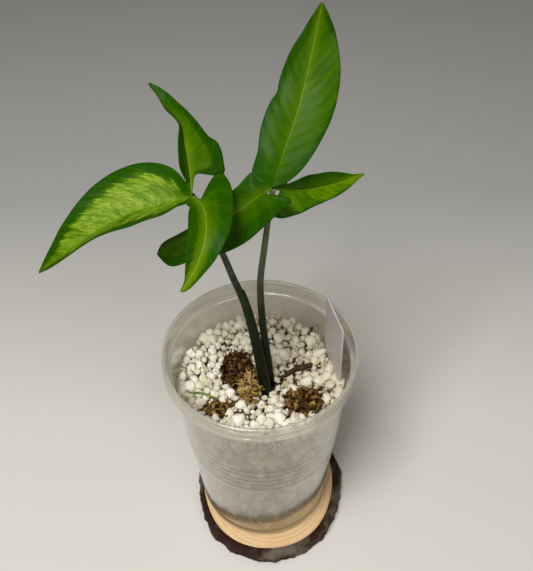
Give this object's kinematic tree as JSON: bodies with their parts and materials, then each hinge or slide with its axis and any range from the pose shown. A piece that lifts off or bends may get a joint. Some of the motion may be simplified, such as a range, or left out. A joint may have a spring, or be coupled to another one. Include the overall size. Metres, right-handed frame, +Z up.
{
  "type": "potted syngonium angustatum plant",
  "caption": "Young aroid house plant with lobed leaves, growing in a clear plastic cup of perlite that stands on a round wood slice.",
  "frame": {"origin": "the point on the cup's axis at the wood slice's underside, on the surface that the object stands on", "axes": "+Z up along the cup's axis, -Y towards the viewer of the picture, +X to the viewer's right"},
  "size_m": [0.1361, 0.0968, 0.2785],
  "materials": {
    "wood": "sawn branch wood with rough dark bark",
    "clear_plastic": "clear, slightly cloudy thermoformed plastic",
    "perlite": "matte, pitted white grains of expanded mineral",
    "roots": "pale, smooth young roots",
    "dry_moss": "dry fibrous moss, dull",
    "twig_bark": "dry dark twig",
    "label_plastic": "satin white plastic",
    "petiole": "smooth, slightly waxy green stalk",
    "leaf_right": "satin leaf skin, dark green with lighter veins",
    "leaf_left": "satin leaf skin, pale blotched middle and dark margin"
  },
  "bodies": {
    "root": {"wood_slice": "wood", "cup": "clear_plastic", "perlite_bed": "perlite", "stem_and_roots": "roots", "moss_centre": "dry_moss", "moss_right": "dry_moss", "moss_left": "dry_moss", "twig": "twig_bark", "plant_label": "label_plastic", "petiole_right": "petiole", "petiole_left": "petiole", "leaf_right": "leaf_right", "leaf_left": "leaf_left"}
  },
  "joints": []
}
